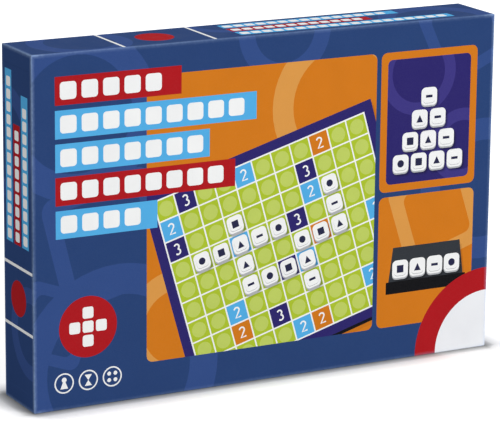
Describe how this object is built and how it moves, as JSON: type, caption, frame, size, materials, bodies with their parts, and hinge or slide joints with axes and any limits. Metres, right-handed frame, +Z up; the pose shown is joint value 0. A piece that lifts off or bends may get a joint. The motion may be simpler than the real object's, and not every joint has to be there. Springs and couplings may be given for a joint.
{
  "type": "boxed word board game",
  "caption": "Upright telescoping cardboard game box with printed paper wrap, holding a squared board, a thermoformed tray, tile racks, stackable letter tiles and a rules leaflet.",
  "frame": {"origin": "under the middle of the closed box, on the surface that it stands on", "axes": "+Z up, +X along the box's width to the right of the printed front, the front faces -Y"},
  "size_m": [0.4, 0.056, 0.274],
  "materials": {
    "lid_print": "satin varnished print",
    "base_print": "satin varnished print",
    "grey_board": "uncoated",
    "corner_tape": "kraft",
    "board_core": "uncoated",
    "board_backing": "linen embossed",
    "board_print": "satin varnished print",
    "tray_plastic": "thermoformed",
    "rack_plastic": "fine moulded grain",
    "tile_plastic": "moulded",
    "leaflet_paper": "uncoated"
  },
  "bodies": {
    "base": {"base_board": "grey_board", "base_corner_stays": "corner_tape", "base_wrap": "base_print"},
    "tray": {"tray": "tray_plastic"},
    "game_board": {"game_board_core": "board_core", "game_board_back": "board_backing", "game_board_face": "board_print"},
    "lid": {"lid_board": "grey_board", "lid_corner_stays": "corner_tape", "lid_wrap": "lid_print"},
    "rules_leaflet": {"rules_leaflet": "leaflet_paper"},
    "rack_1": {"rack_1": "rack_plastic"},
    "rack_2": {"rack_2": "rack_plastic"},
    "rack_3": {"rack_3": "rack_plastic"},
    "rack_4": {"rack_4": "rack_plastic"},
    "tiles_a": {"tiles_a": "tile_plastic"},
    "tiles_b": {"tiles_b": "tile_plastic"},
    "tiles_c": {"tiles_c": "tile_plastic"},
    "tiles_d": {"tiles_d": "tile_plastic"},
    "tiles_e": {"tiles_e": "tile_plastic"},
    "tiles_f": {"tiles_f": "tile_plastic"},
    "tiles_g": {"tiles_g": "tile_plastic"},
    "tiles_h": {"tiles_h": "tile_plastic"},
    "tiles_i": {"tiles_i": "tile_plastic"},
    "tiles_j": {"tiles_j": "tile_plastic"},
    "tiles_k": {"tiles_k": "tile_plastic"},
    "tiles_l": {"tiles_l": "tile_plastic"},
    "tiles_m": {"tiles_m": "tile_plastic"},
    "tiles_n": {"tiles_n": "tile_plastic"},
    "tiles_o": {"tiles_o": "tile_plastic"},
    "tiles_p": {"tiles_p": "tile_plastic"},
    "tiles_q": {"tiles_q": "tile_plastic"},
    "tiles_r": {"tiles_r": "tile_plastic"},
    "tiles_s": {"tiles_s": "tile_plastic"},
    "tiles_t": {"tiles_t": "tile_plastic"},
    "tiles_u": {"tiles_u": "tile_plastic"},
    "tiles_v": {"tiles_v": "tile_plastic"},
    "tiles_w": {"tiles_w": "tile_plastic"},
    "tiles_x": {"tiles_x": "tile_plastic"},
    "tiles_y": {"tiles_y": "tile_plastic"},
    "tiles_z": {"tiles_z": "tile_plastic"},
    "tiles_blank": {"tiles_blank": "tile_plastic"}
  },
  "joints": [
    {"name": "tray_lift", "type": "slide", "parent": "base", "child": "tray", "axis": [0, -1, 0], "range_m": [0, 0.08]},
    {"name": "board_lift", "type": "slide", "parent": "tray", "child": "game_board", "axis": [0, -1, 0], "range_m": [0, 0.15]},
    {"name": "lid_pull", "type": "slide", "parent": "game_board", "child": "lid", "axis": [0, -1, 0], "range_m": [0, 0.2]},
    {"name": "leaflet_lift", "type": "slide", "parent": "tray", "child": "rules_leaflet", "axis": [0, -1, 0], "range_m": [0, 0.105]},
    {"name": "rack_1_lift", "type": "slide", "parent": "tray", "child": "rack_1", "axis": [0, -1, 0], "range_m": [0, 0.0675]},
    {"name": "rack_2_lift", "type": "slide", "parent": "tray", "child": "rack_2", "axis": [0, -1, 0], "range_m": [0, 0.0675]},
    {"name": "rack_3_lift", "type": "slide", "parent": "tray", "child": "rack_3", "axis": [0, -1, 0], "range_m": [0, 0.0675]},
    {"name": "rack_4_lift", "type": "slide", "parent": "tray", "child": "rack_4", "axis": [0, -1, 0], "range_m": [0, 0.0675]},
    {"name": "tiles_a_lift", "type": "slide", "parent": "tray", "child": "tiles_a", "axis": [0, -1, 0], "range_m": [0, 0.0375]},
    {"name": "tiles_b_lift", "type": "slide", "parent": "tray", "child": "tiles_b", "axis": [0, -1, 0], "range_m": [0, 0.0375]},
    {"name": "tiles_c_lift", "type": "slide", "parent": "tray", "child": "tiles_c", "axis": [0, -1, 0], "range_m": [0, 0.0375]},
    {"name": "tiles_d_lift", "type": "slide", "parent": "tray", "child": "tiles_d", "axis": [0, -1, 0], "range_m": [0, 0.0375]},
    {"name": "tiles_e_lift", "type": "slide", "parent": "tray", "child": "tiles_e", "axis": [0, -1, 0], "range_m": [0, 0.0375]},
    {"name": "tiles_f_lift", "type": "slide", "parent": "tray", "child": "tiles_f", "axis": [0, -1, 0], "range_m": [0, 0.0375]},
    {"name": "tiles_g_lift", "type": "slide", "parent": "tray", "child": "tiles_g", "axis": [0, -1, 0], "range_m": [0, 0.0375]},
    {"name": "tiles_h_lift", "type": "slide", "parent": "tray", "child": "tiles_h", "axis": [0, -1, 0], "range_m": [0, 0.0375]},
    {"name": "tiles_i_lift", "type": "slide", "parent": "tray", "child": "tiles_i", "axis": [0, -1, 0], "range_m": [0, 0.0375]},
    {"name": "tiles_j_lift", "type": "slide", "parent": "tray", "child": "tiles_j", "axis": [0, -1, 0], "range_m": [0, 0.0375]},
    {"name": "tiles_k_lift", "type": "slide", "parent": "tray", "child": "tiles_k", "axis": [0, -1, 0], "range_m": [0, 0.0375]},
    {"name": "tiles_l_lift", "type": "slide", "parent": "tray", "child": "tiles_l", "axis": [0, -1, 0], "range_m": [0, 0.0375]},
    {"name": "tiles_m_lift", "type": "slide", "parent": "tray", "child": "tiles_m", "axis": [0, -1, 0], "range_m": [0, 0.0375]},
    {"name": "tiles_n_lift", "type": "slide", "parent": "tray", "child": "tiles_n", "axis": [0, -1, 0], "range_m": [0, 0.0375]},
    {"name": "tiles_o_lift", "type": "slide", "parent": "tray", "child": "tiles_o", "axis": [0, -1, 0], "range_m": [0, 0.0375]},
    {"name": "tiles_p_lift", "type": "slide", "parent": "tray", "child": "tiles_p", "axis": [0, -1, 0], "range_m": [0, 0.0375]},
    {"name": "tiles_q_lift", "type": "slide", "parent": "tray", "child": "tiles_q", "axis": [0, -1, 0], "range_m": [0, 0.0375]},
    {"name": "tiles_r_lift", "type": "slide", "parent": "tray", "child": "tiles_r", "axis": [0, -1, 0], "range_m": [0, 0.0375]},
    {"name": "tiles_s_lift", "type": "slide", "parent": "tray", "child": "tiles_s", "axis": [0, -1, 0], "range_m": [0, 0.0375]},
    {"name": "tiles_t_lift", "type": "slide", "parent": "tray", "child": "tiles_t", "axis": [0, -1, 0], "range_m": [0, 0.0375]},
    {"name": "tiles_u_lift", "type": "slide", "parent": "tray", "child": "tiles_u", "axis": [0, -1, 0], "range_m": [0, 0.0375]},
    {"name": "tiles_v_lift", "type": "slide", "parent": "tray", "child": "tiles_v", "axis": [0, -1, 0], "range_m": [0, 0.0375]},
    {"name": "tiles_w_lift", "type": "slide", "parent": "tray", "child": "tiles_w", "axis": [0, -1, 0], "range_m": [0, 0.0375]},
    {"name": "tiles_x_lift", "type": "slide", "parent": "tray", "child": "tiles_x", "axis": [0, -1, 0], "range_m": [0, 0.0375]},
    {"name": "tiles_y_lift", "type": "slide", "parent": "tray", "child": "tiles_y", "axis": [0, -1, 0], "range_m": [0, 0.0375]},
    {"name": "tiles_z_lift", "type": "slide", "parent": "tray", "child": "tiles_z", "axis": [0, -1, 0], "range_m": [0, 0.0375]},
    {"name": "tiles_blank_lift", "type": "slide", "parent": "tray", "child": "tiles_blank", "axis": [0, -1, 0], "range_m": [0, 0.0375]}
  ],
  "couplings": [
    {"joint": "leaflet_lift", "follows": "board_lift", "ratio": 0.7},
    {"joint": "rack_1_lift", "follows": "board_lift", "ratio": 0.45},
    {"joint": "rack_2_lift", "follows": "board_lift", "ratio": 0.45},
    {"joint": "rack_3_lift", "follows": "board_lift", "ratio": 0.45},
    {"joint": "rack_4_lift", "follows": "board_lift", "ratio": 0.45},
    {"joint": "tiles_a_lift", "follows": "board_lift", "ratio": 0.25},
    {"joint": "tiles_b_lift", "follows": "board_lift", "ratio": 0.25},
    {"joint": "tiles_c_lift", "follows": "board_lift", "ratio": 0.25},
    {"joint": "tiles_d_lift", "follows": "board_lift", "ratio": 0.25},
    {"joint": "tiles_e_lift", "follows": "board_lift", "ratio": 0.25},
    {"joint": "tiles_f_lift", "follows": "board_lift", "ratio": 0.25},
    {"joint": "tiles_g_lift", "follows": "board_lift", "ratio": 0.25},
    {"joint": "tiles_h_lift", "follows": "board_lift", "ratio": 0.25},
    {"joint": "tiles_i_lift", "follows": "board_lift", "ratio": 0.25},
    {"joint": "tiles_j_lift", "follows": "board_lift", "ratio": 0.25},
    {"joint": "tiles_k_lift", "follows": "board_lift", "ratio": 0.25},
    {"joint": "tiles_l_lift", "follows": "board_lift", "ratio": 0.25},
    {"joint": "tiles_m_lift", "follows": "board_lift", "ratio": 0.25},
    {"joint": "tiles_n_lift", "follows": "board_lift", "ratio": 0.25},
    {"joint": "tiles_o_lift", "follows": "board_lift", "ratio": 0.25},
    {"joint": "tiles_p_lift", "follows": "board_lift", "ratio": 0.25},
    {"joint": "tiles_q_lift", "follows": "board_lift", "ratio": 0.25},
    {"joint": "tiles_r_lift", "follows": "board_lift", "ratio": 0.25},
    {"joint": "tiles_s_lift", "follows": "board_lift", "ratio": 0.25},
    {"joint": "tiles_t_lift", "follows": "board_lift", "ratio": 0.25},
    {"joint": "tiles_u_lift", "follows": "board_lift", "ratio": 0.25},
    {"joint": "tiles_v_lift", "follows": "board_lift", "ratio": 0.25},
    {"joint": "tiles_w_lift", "follows": "board_lift", "ratio": 0.25},
    {"joint": "tiles_x_lift", "follows": "board_lift", "ratio": 0.25},
    {"joint": "tiles_y_lift", "follows": "board_lift", "ratio": 0.25},
    {"joint": "tiles_z_lift", "follows": "board_lift", "ratio": 0.25},
    {"joint": "tiles_blank_lift", "follows": "board_lift", "ratio": 0.25}
  ]
}
